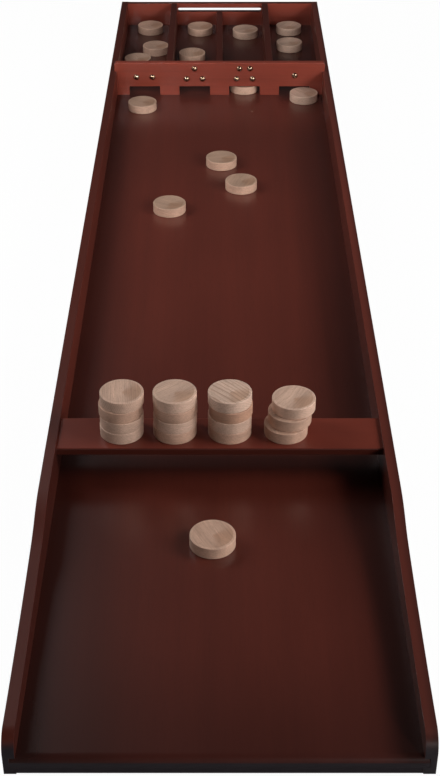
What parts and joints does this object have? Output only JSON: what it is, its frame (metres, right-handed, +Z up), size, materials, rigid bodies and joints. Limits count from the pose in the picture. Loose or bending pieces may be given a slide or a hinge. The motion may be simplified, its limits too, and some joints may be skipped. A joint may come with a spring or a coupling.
{
  "type": "dutch shuffleboard",
  "caption": "Long wooden shuffleboard lane with side walls, a gate board with scoring gates and compartments, a cross shelf near the player, and loose round wooden discs.",
  "frame": {"origin": "on the table under the middle of the board, at the centre of the lowest face of its box", "axes": "+X across the lane to the player's right, +Y from the player's end to the gates, +Z up"},
  "size_m": [0.41, 2, 0.122],
  "materials": {
    "lane_lacquer": "red-brown stain under smooth satin lacquer",
    "frame_lacquer": "red-brown stain under satin lacquer",
    "bare_wood": "planed, unfinished",
    "beech": "turned and sanded, waxed",
    "brass": "polished",
    "steel": "zinc plated"
  },
  "bodies": {
    "board": {"playing_board": "lane_lacquer", "left_side_wall": "frame_lacquer", "right_side_wall": "frame_lacquer", "back_wall": "frame_lacquer", "gate_board": "frame_lacquer", "left_divider": "frame_lacquer", "middle_divider": "frame_lacquer", "right_divider": "frame_lacquer", "disc_shelf": "frame_lacquer", "front_rail": "frame_lacquer", "front_batten": "bare_wood", "middle_batten": "bare_wood", "rear_batten": "bare_wood", "score_nails_one": "brass", "score_nails_two": "brass", "score_nails_three": "brass", "score_nails_four": "brass", "gate_board_screws": "steel", "divider_screws": "steel", "batten_screws": "steel", "shelf_dowels": "bare_wood", "back_wall_dowels": "bare_wood"},
    "near_disc": {"near_disc": "beech"},
    "mid_disc_a": {"mid_disc_a": "beech"},
    "mid_disc_b": {"mid_disc_b": "beech"},
    "mid_disc_c": {"mid_disc_c": "beech"},
    "gate_two_disc": {"gate_two_disc": "beech"},
    "gate_one_disc": {"gate_one_disc": "beech"},
    "gate_four_disc": {"gate_four_disc": "beech"},
    "two_disc_back": {"two_disc_back": "beech"},
    "two_disc_side": {"two_disc_side": "beech"},
    "two_disc_front": {"two_disc_front": "beech"},
    "three_disc_back": {"three_disc_back": "beech"},
    "three_disc_front": {"three_disc_front": "beech"},
    "four_disc": {"four_disc": "beech"},
    "one_disc_back": {"one_disc_back": "beech"},
    "one_disc_front": {"one_disc_front": "beech"},
    "stack_a_disc_1": {"stack_a_disc_1": "beech"},
    "stack_a_disc_2": {"stack_a_disc_2": "beech"},
    "stack_a_disc_3": {"stack_a_disc_3": "beech"},
    "stack_a_disc_4": {"stack_a_disc_4": "beech"},
    "stack_b_disc_1": {"stack_b_disc_1": "beech"},
    "stack_b_disc_2": {"stack_b_disc_2": "beech"},
    "stack_b_disc_3": {"stack_b_disc_3": "beech"},
    "stack_b_disc_4": {"stack_b_disc_4": "beech"},
    "stack_c_disc_1": {"stack_c_disc_1": "beech"},
    "stack_c_disc_2": {"stack_c_disc_2": "beech"},
    "stack_c_disc_3": {"stack_c_disc_3": "beech"},
    "stack_c_disc_4": {"stack_c_disc_4": "beech"},
    "stack_d_disc_1": {"stack_d_disc_1": "beech"},
    "stack_d_disc_2": {"stack_d_disc_2": "beech"},
    "stack_d_disc_3": {"stack_d_disc_3": "beech"}
  },
  "joints": [
    {"name": "near_disc_slide", "type": "slide", "parent": "board", "child": "near_disc", "axis": [0, 1, 0], "range_m": [-0.27, 0.84]},
    {"name": "mid_disc_a_slide", "type": "slide", "parent": "board", "child": "mid_disc_a", "axis": [0, 1, 0], "range_m": [-0.045, 0.281]},
    {"name": "mid_disc_b_slide", "type": "slide", "parent": "board", "child": "mid_disc_b", "axis": [0, 1, 0], "range_m": [-0.87, 0.045]},
    {"name": "mid_disc_c_slide", "type": "slide", "parent": "board", "child": "mid_disc_c", "axis": [0, 1, 0], "range_m": [-1.09, 0.452]},
    {"name": "gate_two_disc_slide", "type": "slide", "parent": "board", "child": "gate_two_disc", "axis": [0, 1, 0], "range_m": [-1.5, 0.165]},
    {"name": "gate_one_disc_slide", "type": "slide", "parent": "board", "child": "gate_one_disc", "axis": [0, 1, 0], "range_m": [-1.54, 0]},
    {"name": "gate_four_disc_slide", "type": "slide", "parent": "board", "child": "gate_four_disc", "axis": [0, 1, 0], "range_m": [-0.295, 0.235]},
    {"name": "two_disc_back_lift", "type": "slide", "parent": "board", "child": "two_disc_back", "axis": [0, 0, 1], "range_m": [0, 0.11]},
    {"name": "two_disc_side_lift", "type": "slide", "parent": "board", "child": "two_disc_side", "axis": [0, 0, 1], "range_m": [0, 0.11]},
    {"name": "two_disc_front_lift", "type": "slide", "parent": "board", "child": "two_disc_front", "axis": [0, 0, 1], "range_m": [0, 0.11]},
    {"name": "three_disc_back_lift", "type": "slide", "parent": "board", "child": "three_disc_back", "axis": [0, 0, 1], "range_m": [0, 0.11]},
    {"name": "three_disc_front_lift", "type": "slide", "parent": "board", "child": "three_disc_front", "axis": [0, 0, 1], "range_m": [0, 0.11]},
    {"name": "four_disc_lift", "type": "slide", "parent": "board", "child": "four_disc", "axis": [0, 0, 1], "range_m": [0, 0.11]},
    {"name": "one_disc_back_lift", "type": "slide", "parent": "board", "child": "one_disc_back", "axis": [0, 0, 1], "range_m": [0, 0.11]},
    {"name": "one_disc_front_lift", "type": "slide", "parent": "board", "child": "one_disc_front", "axis": [0, 0, 1], "range_m": [0, 0.11]},
    {"name": "stack_a_disc_1_lift", "type": "slide", "parent": "board", "child": "stack_a_disc_1", "axis": [0, 0, 1], "range_m": [0, 0.06]},
    {"name": "stack_a_disc_2_lift", "type": "slide", "parent": "stack_a_disc_1", "child": "stack_a_disc_2", "axis": [0, 0, 1], "range_m": [0, 0.06]},
    {"name": "stack_a_disc_3_lift", "type": "slide", "parent": "stack_a_disc_2", "child": "stack_a_disc_3", "axis": [0, 0, 1], "range_m": [0, 0.06]},
    {"name": "stack_a_disc_4_lift", "type": "slide", "parent": "stack_a_disc_3", "child": "stack_a_disc_4", "axis": [0, 0, 1], "range_m": [0, 0.06]},
    {"name": "stack_b_disc_1_lift", "type": "slide", "parent": "board", "child": "stack_b_disc_1", "axis": [0, 0, 1], "range_m": [0, 0.06]},
    {"name": "stack_b_disc_2_lift", "type": "slide", "parent": "stack_b_disc_1", "child": "stack_b_disc_2", "axis": [0, 0, 1], "range_m": [0, 0.06]},
    {"name": "stack_b_disc_3_lift", "type": "slide", "parent": "stack_b_disc_2", "child": "stack_b_disc_3", "axis": [0, 0, 1], "range_m": [0, 0.06]},
    {"name": "stack_b_disc_4_lift", "type": "slide", "parent": "stack_b_disc_3", "child": "stack_b_disc_4", "axis": [0, 0, 1], "range_m": [0, 0.06]},
    {"name": "stack_c_disc_1_lift", "type": "slide", "parent": "board", "child": "stack_c_disc_1", "axis": [0, 0, 1], "range_m": [0, 0.06]},
    {"name": "stack_c_disc_2_lift", "type": "slide", "parent": "stack_c_disc_1", "child": "stack_c_disc_2", "axis": [0, 0, 1], "range_m": [0, 0.06]},
    {"name": "stack_c_disc_3_lift", "type": "slide", "parent": "stack_c_disc_2", "child": "stack_c_disc_3", "axis": [0, 0, 1], "range_m": [0, 0.06]},
    {"name": "stack_c_disc_4_lift", "type": "slide", "parent": "stack_c_disc_3", "child": "stack_c_disc_4", "axis": [0, 0, 1], "range_m": [0, 0.06]},
    {"name": "stack_d_disc_1_lift", "type": "slide", "parent": "board", "child": "stack_d_disc_1", "axis": [0, 0, 1], "range_m": [0, 0.06]},
    {"name": "stack_d_disc_2_lift", "type": "slide", "parent": "stack_d_disc_1", "child": "stack_d_disc_2", "axis": [0, 0, 1], "range_m": [0, 0.06]},
    {"name": "stack_d_disc_3_lift", "type": "slide", "parent": "stack_d_disc_2", "child": "stack_d_disc_3", "axis": [0, 0, 1], "range_m": [0, 0.06]}
  ]
}
